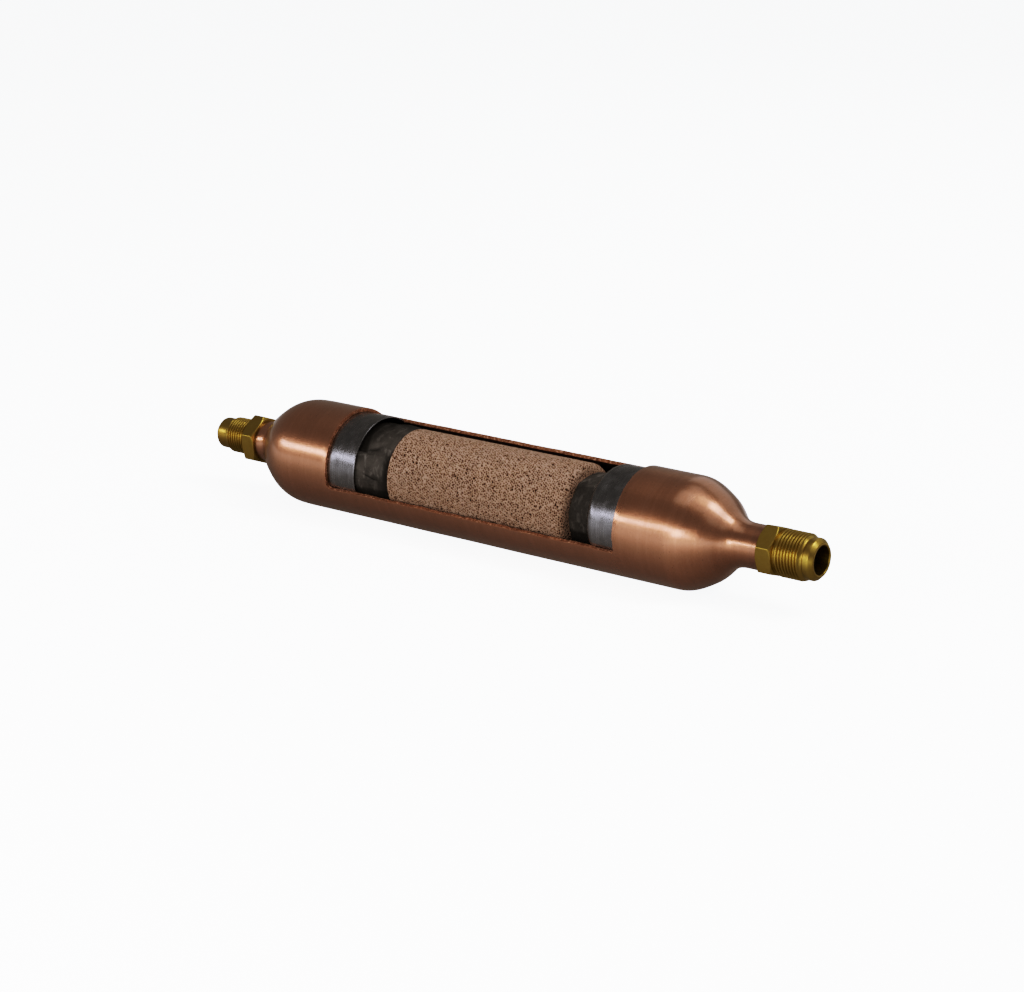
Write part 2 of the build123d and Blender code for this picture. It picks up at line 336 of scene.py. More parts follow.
def brass():
    m = Mat("brass_turned")
    fine = m.noise(m.coords((3000, 200, 200)), 1.0, 4.0, 0.6)
    tarn = m.noise(m.coords((140, 140, 140)), 1.0, 5.0, 0.65)
    big = m.noise(m.coords((45, 45, 45), loc=(1, 5, 2)), 1.0, 3.0, 0.5)
    col = m.mix(m.mapr(tarn, 0.35, 0.7, 0, 1), (0.44, 0.318, 0.082), (0.35, 0.238, 0.052))
    col = m.mix(m.mapr(big, 0.5, 0.75, 0, 0.5), col, (0.37, 0.21, 0.052))
    m.put(Base_Color=col, Metallic=1.0, Roughness=m.mapr(tarn, 0.3, 0.75, 0.27, 0.42),
          Normal=m.bump(fine, 0.12, 0.0001))
    return m.m


def gauze():
    m = Mat("wire_gauze")
    w1 = m.n("ShaderNodeTexWave", wave_type="BANDS", bands_direction="X")
    w2 = m.n("ShaderNodeTexWave", wave_type="BANDS", bands_direction="Y")
    for w in (w1, w2):
        w.inputs["Scale"].default_value = 1.0
        w.inputs["Distortion"].default_value = 0.15
        w.inputs["Detail"].default_value = 1.0
    rot = m.coords((0.85, 0.85, 1), kind="UV", rot=(0, 0, math.radians(38)))
    m.link(rot, w1.inputs["Vector"])
    m.link(rot, w2.inputs["Vector"])
    weave = m.math("MAXIMUM", w1.outputs["Fac"], w2.outputs["Fac"])
    blot = m.noise(m.coords((0.12, 0.12, 1), kind="UV"), 1.0, 5.0, 0.6)
    grime = m.noise(m.coords((0.8, 0.8, 1), kind="UV", loc=(2, 7, 0)), 1.0, 4.0, 0.7)
    col = m.mix(m.mapr(blot, 0.3, 0.7, 0, 1), (0.050, 0.046, 0.044), (0.130, 0.122, 0.117))
    col = m.mix(m.mapr(weave, 0.2, 0.9, 0.65, 0.0), col, (0.022, 0.019, 0.017))
    col = m.mix(m.mapr(grime, 0.55, 0.8, 0, 0.5), col, (0.07, 0.062, 0.055))
    # painted shade: this attribute darkens the gauze nearly to black in its recesses, folds, lower side and beside the
    # core, and lowers its metal sheen and raises its roughness there; a random mottle is mixed in
    soot = m.attr("soot")
    col = m.mix(soot, col, (0.006, 0.005, 0.0045))
    # random pale blotches, kept off the shaded zones
    pale_blotch = m.noise(m.coords((0.35, 0.16, 1), kind="UV", loc=(9, 3, 0)), 1.0, 4.0, 0.6, 0.6)
    col = m.mix(m.math("MULTIPLY", m.mapr(pale_blotch, 0.52, 0.72, 0, 0.9), m.math("SUBTRACT", 1.0, soot)), col, (0.21, 0.20, 0.195))
    unshaded = m.math("SUBTRACT", 1.0, soot)
    m.put(Base_Color=col, Metallic=m.math("MULTIPLY", unshaded, 0.45), Roughness=m.mapr(soot, 0, 1, 0.42, 0.85), Normal=m.bump(weave, 0.5, 0.00012))
    m.b.inputs["Specular IOR Level"].default_value = 0.22
    return m.m


def felt():
    m = Mat("fibre_pad")
    f = m.noise(m.coords((900, 900, 900)), 1.0, 6.0, 0.7, 0.8)
    col = m.mix(m.mapr(f, 0.3, 0.75, 0, 1), (0.62, 0.60, 0.54), (0.78, 0.76, 0.70))
    m.put(Base_Color=col, Roughness=0.95, Normal=m.bump(f, 0.8, 0.0006))
    return m.m


def beads():
    m = Mat("bonded_beads")
    dep = m.attr("depth")
    tint = m.attr("tint")
    grain = m.noise(m.coords((2600, 2600, 2600)), 1.0, 4.0, 0.7)
    soft = m.noise(m.coords((70, 70, 70)), 1.0, 4.0, 0.6)
    light = m.mix(tint, (0.60, 0.42, 0.325), (0.46, 0.31, 0.237))
    light = m.mix(m.mapr(soft, 0.35, 0.7, 0, 0.35), light, (0.52, 0.32, 0.20))
    light = m.mix(m.mapr(grain, 0.45, 0.8, 0, 0.35), light, (0.78, 0.54, 0.40))
    # painted shade: the pores are darkened with their depth, almost to black at the bottom
    pore_shade = m.ramp(dep, [(0.0, (1, 1, 1)), (0.12, (0.92, 0.88, 0.85)), (0.32, (0.45, 0.34, 0.27)), (0.56, (0.08, 0.045, 0.03))])
    vor = m.n("ShaderNodeTexVoronoi", feature="F1")
    vor.inputs["Scale"].default_value = 1.0
    m.link(m.coords((930, 930, 930), loc=(0.3, 0.1, 0.7)), vor.inputs["Vector"])
    fine = m.mapr(vor.outputs["Distance"], 0.19, 0.33, 0.0, 1.0)
    col = m.mix(1.0, light, pore_shade, blend="MULTIPLY")
    # painted shade: the small pits at the Voronoi cell centres are darkened too
    col = m.mix(fine, m.mix(1.0, col, (0.16, 0.10, 0.075), blend="MULTIPLY"), col)
    m.put(Base_Color=col, Roughness=0.85, Normal=m.bump(fine, 0.5, 0.0003, m.bump(grain, 0.5, 0.00025)))
    m.b.inputs["Specular IOR Level"].default_value = 0.3
    return m.m


def filler():
    m = Mat("braze_metal")
    g = m.noise(m.coords((400, 400, 400)), 1.0, 4.0, 0.6)
    col = m.mix(m.mapr(g, 0.35, 0.7, 0, 1), (0.30, 0.155, 0.065), (0.18, 0.085, 0.04))
    m.put(Base_Color=col, Metallic=0.9, Roughness=m.mapr(g, 0.3, 0.75, 0.38, 0.55), Normal=m.bump(g, 0.4, 0.0002))
    return m.m


COPPER, CUT, INSIDE = copper_outer(), copper_cut(), copper_inner()
STEEL, BRASS, GAUZE, FELT, BEADS = steel(), brass(), gauze(), felt(), beads()
FILLER = filler()

# ----------------------------------------------------------------------- shell
R, NR, NB = 27.0, 10.5, 8.15
WX0, WX1 = -88.1, 86.9
WA0, WA1 = math.radians(-18.1), math.radians(129.2)
DOME_OUT = [(110.9, 27.0), (115.9, 26.76), (120.9, 25.28), (125.9, 22.72), (129.9, 20.28),
            (133.9, 16.72), (137.4, 13.37), (140.4, 11.52), (142.9, 10.81), (146.0, 10.5)]
DOME_IN = [(109.1, 27.0), (115.1, 26.92), (120.1, 26.55), (125.1, 25.27), (130.1, 22.92),
           (134.6, 19.94), (138.6, 16.9), (141.3, 14.2), (143.0, 12.1), (144.6, 10.95), (147.6, 10.5)]


def shell():
    right = clamped(DOME_OUT, (1, 0), (1, 0), 46)
    left = clamped(DOME_IN, (1, 0), (1, 0), 46)
    left = np.stack([-left[::-1, 0], left[::-1, 1]], -1)
    px = [(-151.2, NR), (-150.4, NR), (-149.0, NR)]
    px += [tuple(p) for p in left]
    px += [(x, R) for x in np.linspace(-109.1, WX0, 8)[1:-1]]
    iw0 = len(px)
    px += [(x, R) for x in np.linspace(WX0, WX1, 151)]
    iw1 = len(px) - 1
    px += [(x, R) for x in np.linspace(WX1, 110.9, 9)[1:-1]]
    px += [tuple(p) for p in right]
    px += [(147.9, NR), (149.9, NR), (151.9, NR), (153.1, NR), (153.9, NR)]
    P = np.array(px)
    ni = len(P)
    # wall thickness and inward normal
    d = np.gradient(P, axis=0)
    d /= np.linalg.norm(d, axis=1)[:, None]
    k = np.clip((R - P[:, 1]) / (R - NR), 0, 1)
    t = 1.8 + (NR - NB - 1.8) * k
    Q = P + np.stack([d[:, 1], -d[:, 0]], -1) * t[:, None]
    Q[0, 0], Q[-1, 0] = P[0, 0], P[-1, 0]
    nA, nB = 84, 118
    th = np.r_[np.linspace(WA0, WA1, nA + 1), np.linspace(WA1, WA0 + 2 * np.pi, nB + 1)[1:-1]]
    nj = len(th)
    # slight waviness of hand-spun tube, none at the necks
    wob = waves2(14, 0.012, 0.05, 3)
    amp = np.clip((P[:, 1] - NR) / 8, 0, 1)[:, None] * 0.035
    W = wob(P[:, :1] + 0 * th[None], 27 * np.sin(th)[None] * 1.0 + 13 * np.cos(th)[None]) * amp
    X = np.repeat(P[:, :1], nj, 1)
    TH = np.repeat(th[None], ni, 0)
    RO = P[:, 1:2] + W
    # ragged sawn edges, and the round lower corner at the inlet side
    ex, et = np.zeros_like(X), np.zeros_like(X)
    e1, e2, e3, e4 = waves(30, 0.02, 0.45, 11), waves(30, 0.02, 0.45, 12), waves(24, 0.03, 0.5, 13), waves(24, 0.03, 0.5, 14)
    sA = R * (th[:nA + 1] - WA0)
    ex[iw0, :nA + 1] += 0.10 * e3(sA)
    ex[iw1, :nA + 1] += 0.10 * e4(sA)
    xs = P[iw0:iw1 + 1, 0]
    et[iw0:iw1 + 1, 0] += 0.20 * e1(xs)
    et[iw0:iw1 + 1, nA] += 0.12 * e2(xs)
    rc = 2.2
    for (ci, cj, sx, st, rad) in ((iw0, 0, 1, 1, rc), (iw0, nA, 1, -1, 0.8), (iw1, 0, -1, 1, 0.35), (iw1, nA, -1, -1, 0.8)):
        # the material fills the corner to a quarter circle
        cx, ct = X[ci, cj], TH[ci, cj]
        def arc(u):
            """0 at the corner's middle, 1 at the tangent point: offsets along and across."""
            a = math.radians(45 * (1 - u))
            return rad * (1 - math.sin(a)), rad * (1 - math.cos(a))
        rows = range(ci, ci + 12 * sx, sx)
        for i in rows:
            dd = abs(X[i, cj] - cx)
            if dd < rad * 1.6:
                u = min(dd / (rad * 1.6), 1)
                al, ac = arc(u)
                al = al + (dd - rad) * 0 if u < 1 else dd
                ex[i, cj] += sx * (al - dd)
                et[i, cj] += st * ac
        cols = range(cj, cj + 12 * st, st)
        for j in cols:
            if j == cj:
                continue
            dd = R * abs(TH[ci, j] - ct)
            if dd < rad * 1.6:
                u = min(dd / (rad * 1.6), 1)
                al, ac = arc(u)
                et[ci, j] += st * (al - dd)
                ex[ci, j] += sx * ac
    # carry the edge moves a few cells into the wall, so that no cell folds over
    for n, f in ((1, 0.6), (2, 0.3), (3, 0.1)):
        ex[iw0 - n, :nA + 1] += f * ex[iw0, :nA + 1]
        et[iw0 - n, :nA + 1] += f * et[iw0, :nA + 1]
        ex[iw1 + n, :nA + 1] += f * ex[iw1, :nA + 1]
        et[iw0:iw1 + 1, -n] += f * et[iw0:iw1 + 1, 0]
        ex[iw0:iw1 + 1, -n] += f * ex[iw0:iw1 + 1, 0]
        et[iw0:iw1 + 1, nA + n] += f * et[iw0:iw1 + 1, nA]
        ex[iw0:iw1 + 1, nA + n] += f * ex[iw0:iw1 + 1, nA]
    XO, TO = X + ex, TH + et / R
    O = polar(XO, RO, TO)
    QI = np.repeat(Q[:, :1], nj, 1) + ex
    I = polar(QI, Q[:, 1:2] + W, TO)
    V = np.concatenate([O.reshape(-1, 3), I.reshape(-1, 3)])
    oid = lambda i, j: i * nj + (j % nj)
    n0 = ni * nj
    faces, mat = [], []
    ii, jj = np.meshgrid(np.arange(ni - 1), np.arange(nj), indexing="ij")
    keep = ~((ii >= iw0) & (ii < iw1) & (jj < nA))
    ii, jj = ii[keep], jj[keep]
    j2 = (jj + 1) % nj
    fo = np.stack([ii * nj + jj, ii * nj + j2, (ii + 1) * nj + j2, (ii + 1) * nj + jj], -1)
    fi = fo[:, ::-1] + n0
    faces += fo.tolist() + fi.tolist()
    mat += [0] * len(fo) + [2] * len(fi)
    def wallq(a, b, m=1):
        faces.append([a, b, b + n0, a + n0])
        mat.append(m)
    for i in range(iw0, iw1):
        wallq(oid(i + 1, 0), oid(i, 0))
        wallq(oid(i, nA), oid(i + 1, nA))
    for j in range(nA):
        wallq(oid(iw0, j), oid(iw0, j + 1))
        wallq(oid(iw1, j + 1), oid(iw1, j))
    for j in range(nj):
        wallq(oid(0, j + 1), oid(0, j), 0)
        wallq(oid(ni - 1, j), oid(ni - 1, j + 1), 0)
    used = np.zeros(len(V), bool)
    used[np.unique(np.array(faces))] = True
    remap = np.cumsum(used) - 1
    V = V[used]
    faces = remap[np.array(faces)]
    me = bpy.data.meshes.new("shell_copper")
    me.from_pydata((V * MM).tolist(), [], faces.tolist())
    me.polygons.foreach_set("material_index", np.array(mat, dtype=np.int32))
    bm = bmesh.new()
    bm.from_mesh(me)
    bmesh.ops.recalc_face_normals(bm, faces=bm.faces)
    es = [e for e in bm.edges if len(e.link_faces) == 2
          and {f.material_index for f in e.link_faces} == {0, 1}]
    bmesh.ops.bevel(bm, geom=es, offset=0.16 * MM, segments=2, profile=0.6, affect="EDGES", material=1)
    es = [e for e in bm.edges if len(e.link_faces) == 2
          and {f.material_index for f in e.link_faces} == {1, 2}]
    bmesh.ops.bevel(bm, geom=es, offset=0.08 * MM, segments=1, affect="EDGES", material=1)
    for e in bm.edges:
        if len(e.link_faces) == 2 and e.calc_face_angle(0) > math.radians(38):
            e.smooth = False
    bm.to_mesh(me)
    bm.free()
    me.polygons.foreach_set("use_smooth", np.ones(len(me.polygons), dtype=bool))
    ob = bpy.data.objects.new("shell_copper", me)
    scene.collection.objects.link(ob)
    for m in (COPPER, CUT, INSIDE):
        me.materials.append(m)
    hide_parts("shell")
    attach(ob, "root")
    return ob


# ------------------------------------------------------------------------ cups
def cup(name, node, x0, tilt=0.0, seed=1):
    """Deep-drawn cup; tilt in degrees leans its top towards the inlet."""
    ro, t, hole, ln, rad = 25.15, 0.8, 12.0, 22.0, 5.0
    pr = []
    pr += [(x0 + 0.25, hole), (x0, hole + 0.25)]
    pr += [(x0, r) for r in np.linspace(hole + 0.25, ro - rad, 8)[1:]]
    for a in np.linspace(0, 90, 15)[1:]:
        a = math.radians(a)
        pr.append((x0 + rad * (1 - math.cos(a)), ro - rad * (1 - math.sin(a))))
    # the wall is drawn in a little behind the shoulder and bells out at the rim
    for u in np.linspace(0, 1, 30)[1:]:
        x = x0 + rad + (ln - rad - 0.3) * u
        pr.append((x, ro - 0.16 * math.sin(math.pi * min(u / 0.45, 1)) ** 2 * (u < 0.45)))
    pr += [(x0 + ln - 0.12, ro - 0.06), (x0 + ln, ro - 0.26), (x0 + ln, ro - t + 0.22), (x0 + ln - 0.14, ro - t + 0.04)]
    for u in np.linspace(1, 0, 12):
        pr.append((x0 + rad + (ln - rad - 0.4) * u, ro - t))
    ri = rad - t
    for a in np.linspace(90, 0, 9)[1:]:
        a = math.radians(a)
        pr.append((x0 + rad - ri * math.cos(a), ro - rad + ri * math.sin(a)))
    pr += [(x0 + t, r) for r in np.linspace(ro - rad, hole + 0.25, 6)[1:]]
    pr += [(x0 + t - 0.25, hole)]
    pr = np.array(pr)
    nj = 180
    th = np.linspace(0, 2 * np.pi, nj, endpoint=False)
    w1 = waves2(12, 0.015, 0.06, seed)
    RR = pr[:, 1:2] - 0.03 - 0.03 * w1(pr[:, :1] + 0 * th, 25 * np.cos(th)[None] + 11 * np.sin(th)[None])
    XX = np.repeat(pr[:, :1], nj, 1)
    rim = np.clip((XX - (x0 + ln - 2)) / 2, 0, 1)
    XX = XX + rim * 0.12 * waves(10, 0.006, 0.05, seed + 5)(25 * th)[None]
    V = polar(XX, RR, th[None])
    if tilt:
        a = math.radians(tilt)
        V[..., 0] = V[..., 0] - math.sin(a) * V[..., 2]
    uvs = np.stack([np.repeat(np.cumsum(np.r_[0, np.hypot(*np.diff(pr, axis=0).T)])[:, None], nj, 1),
                    np.repeat(25 * np.abs(th - np.pi)[None], len(pr), 0)], -1)
    f = grid_faces(len(pr), nj, wrap_j=True, wrap_i=True)
    return make(name, V.reshape(-1, 3), f, [STEEL], uv=uvs.reshape(-1, 2), sharp=50, slot="pressed_steel", nodes=(node,))


# ------------------------------------------------------------------------ core
def gap(th, c):
    """Signed angle from c, -pi to pi."""
    return (th - c + np.pi) % (2 * np.pi) - np.pi


def core():
    x0, x1, r0, r1, c0, c1 = -52.6, 53.9, 22.0, 22.3, 1.0, 3.0
    step = 0.31
    pr = [(x0, r, -1, 0) for r in (0.0, 9.0, 15.0, 18.0, 19.5, 20.4)]
    for a in np.linspace(0, 90, 5):
        a = math.radians(a)
        pr.append((x0 + c0 * (1 - math.cos(a)), r0 - c0 * (1 - math.sin(a)), -math.cos(a), math.sin(a)))
    n = int((x1 - c1 - x0 - c0) / step)
    for u in np.linspace(0, 1, n)[1:-1]:
        pr.append((x0 + c0 + (x1 - c1 - x0 - c0) * u, r0 + (r1 - r0) * u, 0, 1))
    for a in np.linspace(90, 0, 14):
        a = math.radians(a)
        pr.append((x1 - c1 * (1 - math.cos(a)), r1 - c1 * (1 - math.sin(a)), math.cos(a), math.sin(a)))
    for r in np.arange(r1 - c1 - step, 13.6, -step):
        pr.append((x1, r, 1, 0))
    pr += [(x1, r, 1, 0) for r in (12.0, 8.0, 0.0)]
    pr = np.array(pr)
    a0, a1 = math.radians(-30), math.radians(134)
    nv, nh = int((a1 - a0) * 22 / step), 40
    th = np.r_[np.linspace(a0, a1, nv, endpoint=False), np.linspace(a1, a0 + 2 * np.pi, nh, endpoint=False)]
    ni, nj = len(pr), len(th)
    base = polar(pr[:, :1], pr[:, 1:2], th[None])
    nrm = np.stack([np.repeat(pr[:, 2:3], nj, 1), -pr[:, 3:4] * np.cos(th)[None], pr[:, 3:4] * np.sin(th)[None]], -1)
    s = np.r_[0, np.cumsum(np.hypot(np.diff(pr[:, 0]), np.diff(pr[:, 1])))]
    # open pores between the bonded beads, in jittered staggered rows
    g = np.random.default_rng(21)
    pitch = 1.38
    depth = np.zeros((ni, nj))
    tint = np.zeros((ni, nj))
    wsum = np.full((ni, nj), 1e-3)
    th_ext = np.r_[th - 2 * np.pi, th, th + 2 * np.pi]
    for q, sq in enumerate(np.arange(s[4], s[-3], pitch * 0.866)):
        r_here = np.interp(sq, s, pr[:, 1])
        nb = max(int(round(2 * np.pi * r_here / pitch)), 3)
        for b in range(nb):
            if g.random() < 0.06:
                continue
            tb = (b + 0.5 * (q % 2)) * 2 * np.pi / nb + g.normal(0, 0.13 * pitch) / r_here
            sc = sq + g.normal(0, 0.13 * pitch)
            rho = g.uniform(0.22, 0.33) * (1.35 if g.random() < 0.10 else 1.0)
            amp = g.uniform(0.55, 1.05) * rho / 0.30
            ecc, rot_ = g.uniform(0.75, 1.3), g.uniform(0, np.pi)
            tn = g.random()
            rr = max(np.interp(sc, s, pr[:, 1]), 3.0)
            reach = 2.4 * rho
            i_a, i_b = np.searchsorted(s, [sc - max(reach, 0.9), sc + max(reach, 0.9)])
            tw = tb % (2 * np.pi)
            dth = max(reach, 0.9) / rr
            j_a, j_b = np.searchsorted(th_ext, [tw - dth, tw + dth])
            if i_b <= i_a or j_b <= j_a:
                continue
            js = np.arange(j_a, j_b)
            u = (s[i_a:i_b] - sc)[:, None] + 0 * js[None]
            v = ((th_ext[js] - tw) * rr)[None] + 0 * u
            u2 = (u * math.cos(rot_) + v * math.sin(rot_)) * ecc
            v2 = (-u * math.sin(rot_) + v * math.cos(rot_)) / ecc
            d2 = u2 ** 2 + v2 ** 2
            ix = np.ix_(range(i_a, i_b), js % nj)
            depth[ix] = np.maximum(depth[ix], amp * np.exp(-d2 / rho ** 2))
            w = np.exp(-(u * u + v * v) / 0.5)
            tint[ix] += w * tn
            wsum[ix] += w
    lump = waves2(40, 0.25, 0.9, 22)
    h = 0.06 * lump(s[:, None] + 0 * th[None], 22 * gap(th, 0)[None] + 0 * s[:, None]) - depth
    cap = np.ones(ni)
    cap[:6] = 0
    cap[-3:] = 0
    h = np.where(cap[:, None] > 0, np.minimum(h, 0.12), -0.1)
    V = base + nrm * h[..., None]
    depth = np.clip(depth / 0.75, 0, 1)
    tint = tint / wsum
    f = grid_faces(ni, nj, wrap_j=True, flip=True)
    # the two poles are single points
    V = V.reshape(-1, 3)
    faces = []
    for q in f.tolist():
        rows = {v // nj for v in q}
        if 0 in rows:
            q = [0 if v // nj == 0 else v for v in q]
        if ni - 1 in rows:
            q = [(ni - 1) * nj if v // nj == ni - 1 else v for v in q]
        q2 = [v for k, v in enumerate(q) if v != q[k - 1]]
        faces.append(q2)
    flat = np.unique(np.concatenate([np.array(q) for q in faces]))
    remap = np.full(len(V), -1)
    remap[flat] = np.arange(len(flat))
    faces = [[int(remap[v]) for v in q] for q in faces]
    ob = make("core_beads", V[flat], faces, [BEADS], sharp=None,
              attrs={"depth": depth.reshape(-1)[flat], "tint": tint.reshape(-1)[flat]},
              slot="desiccant", nodes=("desiccant_core",))
    return ob


# ---------------------------------------------------------------------- gauze
def lathe_piece(name, pr, nj, disp, mats, uvr, soot=None, **kw):
    """Closed surface of revolution from (x, r) rows whose two ends lie on the axis."""
    pr = np.array(pr, float)
    th = np.linspace(0, 2 * np.pi, nj, endpoint=False)
    X0, T0 = np.repeat(pr[1:-1, :1], nj, 1), np.repeat(th[None], len(pr) - 2, 0)
    X, RR = disp(X0, np.repeat(pr[1:-1, 1:2], nj, 1), T0)
    if soot is not None:
        kw["attrs"] = {"soot": np.r_[np.clip(soot(X0, T0), 0, 1).ravel(), 0.0, 0.0]}
    V = polar(X, RR, th[None]).reshape(-1, 3)
    ni = len(pr) - 2
    s = np.cumsum(np.r_[0, np.hypot(*np.diff(pr, axis=0).T)])[1:-1]
    uv = np.stack([np.repeat(s[:, None], nj, 1), np.repeat((uvr * (th % (2 * np.pi)))[None], ni, 0)], -1).reshape(-1, 2)
    f = grid_faces(ni, nj, wrap_j=True, flip=True).tolist()
    a, b = len(V), len(V) + 1
    V = np.concatenate([V, polar(pr[0, 0], 0.0, 0.0)[None], polar(pr[-1, 0], 0.0, 0.0)[None]])
    uv = np.concatenate([uv, [[0, 0]], [[s[-1] + 5, 0]]])
    for j in range(nj):
        j2 = (j + 1) % nj
        f.append([a, j, j2])
        f.append([b, (ni - 1) * nj + j2, (ni - 1) * nj + j])
    return make(name, V, f, mats, uv=uv, **kw)


def smooth(x, a, b):
    t = np.clip((x - a) / (b - a), 0, 1)
    return t * t * (3 - 2 * t)


def resample(pts, step):
    P = np.array(pts, float)
    s = np.r_[0, np.cumsum(np.hypot(*np.diff(P, axis=0).T))]
    u = np.linspace(0, s[-1], max(int(s[-1] / step), 2) + 1)
    u = np.unique(np.r_[u, s])
    return np.stack([np.interp(u, s, P[:, 0]), np.interp(u, s, P[:, 1])], -1)


def inlet_wrap():
    pts = [(-92.25, 0.0), (-92.25, 18.6), (-91.3, 21.2), (-89.0, 23.0), (-85.5, 23.6), (-71.1, 23.7), (-66.0, 23.2),
           (-60.0, 22.6), (-56.0, 22.0), (-54.4, 21.2), (-53.2, 19.9), (-52.75, 18.0), (-52.75, 0.0)]
    pr = resample(pts, 0.6)
    n1, n2 = waves2(26, 0.02, 0.16, 31), waves2(26, 0.08, 0.5, 32)

    def disp(X, RR, T):
        side = smooth(RR, 15.0, 19.0) * smooth(X, -90, -84)
        w = 23 * gap(T, 0)
        lap = math.radians(31)
        g = gap(T, lap)
        # above the lap the sheet lies lower, and the step fades towards the core
        step = smooth(g, -0.012, 0.018) * (1 - smooth(g, 1.7, 2.6)) * (g > -1)
        d = -1.9 * step * (1 - smooth(X, -70.5, -58.0)) * (0.55 + 0.45 * smooth(gap(T, lap), 0.0, 0.5))
        # the free edge of the outer layer stands up a little
        d += 0.35 * np.exp(-((g + 0.05) / 0.05) ** 2) * (1 - smooth(X, -70, -61))
        # a shallow pushed-in facet above it, and a ridge beside the facet
        d += 0.8 * np.exp(-((gap(T, math.radians(57)) * 23) / 4.2) ** 2 - ((X + 62.5) / 3.6) ** 2)
        d -= 0.8 * np.exp(-((gap(T, math.radians(40)) * 23 - 0.3 * (X + 64)) / 1.9) ** 2 - ((X + 63.0) / 3.2) ** 2)
        # short diagonal crease low on the front
        cr = gap(T, math.radians(2.0)) * 23 + 0.32 * (X + 62.5)
        d -= 0.75 * np.exp(-(cr / 0.42) ** 2) * smooth(X, -67.5, -64.5) * (1 - smooth(X, -60.5, -57.5))
        d += 0.30 * np.exp(-((cr - 0.9) / 0.6) ** 2) * smooth(X, -67.5, -64.5) * (1 - smooth(X, -60.5, -57.5))
        d += 0.16 * n1(X, w) + 0.05 * n2(X, w)
        d -= 0.12 * smooth(X, -60, -55) * (1 + np.sin(9 * T + 0.6 * np.sin(5 * T))) * 0.8
        d = np.minimum(RR + d * side, np.where(X < -71.0, 24.2, 24.4)) - RR
        return X, RR + d

    # painted shade on the inlet gauze: in the recess above the lap by the rim, along the creases, on the lower front
    # and beside the core, over a random mottle
    def soot(X, T):
        g = gap(T, math.radians(31))
        q = 0.95 * smooth(g, -0.01, 0.02) * (1 - smooth(X + 2.2 * smooth(g, 0.0, 0.5), -68.5, -65.0)) * (1 - 0.6 * smooth(g, 1.4, 2.0)) * (g > -1)
        q = np.maximum(q, 0.85 * np.exp(-((gap(T, math.radians(37)) * 23 - 0.25 * (X + 64)) / 1.0) ** 2) * (1 - smooth(X, -62, -59.5)) * smooth(X, -71, -69))
        q = np.maximum(q, 0.95 * (1 - smooth(gap(T, 0), math.radians(-16), math.radians(-6))) * (np.abs(gap(T, 0)) < 2.0))
        q = np.maximum(q, 0.8 * smooth(X, -56.6, -54.6) * (1 - smooth(gap(T, 0), math.radians(25), math.radians(45))))
        cr = gap(T, math.radians(2.0)) * 23 + 0.32 * (X + 62.5)
        q = np.maximum(q, 0.9 * np.exp(-(cr / 0.5) ** 2) * smooth(X, -67.5, -65.0) * (1 - smooth(X, -60.5, -58.0)))
        return np.maximum(q, 0.30 + 0.45 * n1(X, 23 * gap(T, 0) + 3))
    return lathe_piece("inlet_gauze", pr, 300, disp, [GAUZE], 23.0, soot=soot, slot="gauze", nodes=("inlet_screen",), sharp=None)


def outlet_wrap():
    pts = [(54.0, 0.0), (54.0, 15.0), (54.9, 16.9), (55.9, 18.1), (57.0, 18.8), (58.6, 19.1), (68.4, 19.1), (68.7, 18.6), (68.7, 0.0)]
    pr = resample(pts, 0.45)
    n1, n2 = waves2(26, 0.03, 0.2, 41), waves2(26, 0.1, 0.5, 42)

    def disp(X, RR, T):
        side = smooth(RR, 12.0, 17.0)
        w = 19 * gap(T, 0)
        d = np.zeros_like(X)
        # folds that run along the axis, with flatter facets between them
        folds = [math.radians(a) for a in (57, 121, -37, -95, 183, -2)]
        hts = [0.95, 0.5, 0.8, 0.5, 0.5, 0.15]
        for c, h in zip(folds, hts):
            q = np.abs(gap(T, c)) * 19
            d += h * (np.exp(-q / 1.6) - 0.35 * np.exp(-((q - 7) / 5) ** 2))
        cr = gap(T, math.radians(52.0)) * 19 - 0.12 * (X - 60)
        d -= 0.5 * np.exp(-(cr / 0.5) ** 2) * smooth(X, 57.0, 58.5) * (1 - smooth(X, 65.0, 67.5))
        d += 0.10 * n1(X, w) + 0.05 * n2(X, w)
        return X, RR + d * side

    # painted shade on the outlet gauze: on the front below the upper fold, darkest on the lower facet, at the end by
    # the cup and at the back of the top, over a random mottle
    def soot(X, T):
        t = gap(T, 0)
        q = 0.58 * (1 - smooth(t, math.radians(48), math.radians(60))) * (np.abs(t) < 2.2)
        q = np.maximum(q, 0.97 * (1 - smooth(t, math.radians(-18), math.radians(-6))) * (np.abs(t) < 2.2))
        q = np.maximum(q, 0.9 * smooth(X, 66.5, 68.2))
        q = np.maximum(q, 0.4 * smooth(t, math.radians(100), math.radians(114)))
        return np.maximum(q, 0.15 + 0.3 * n1(X + 5, 19 * t))
    return lathe_piece("outlet_gauze", pr, 260, disp, [GAUZE], 19.0, soot=soot, slot="gauze", nodes=("outlet_screen",), sharp=None)


def pad(name, node, x0, x1, r):
    pts = [(x0, 0.0), (x0, r - 2.4), (x0 + 0.9, r - 0.8), (x0 + 2.6, r), (x1 - 2.6, r), (x1 - 0.9, r - 0.8), (x1, r - 2.4), (x1, 0.0)]
    pr = resample(pts, 1.0)
    n1 = waves2(20, 0.04, 0.3, 51)

    def disp(X, RR, T):
        return X, RR - 0.25 + 0.2 * n1(X, r * gap(T, 0)) * smooth(RR, 4, 9)
    ob = lathe_piece(name, pr, 120, disp, [FELT], r, slot="pad", nodes=(node,), sharp=None)
    return ob


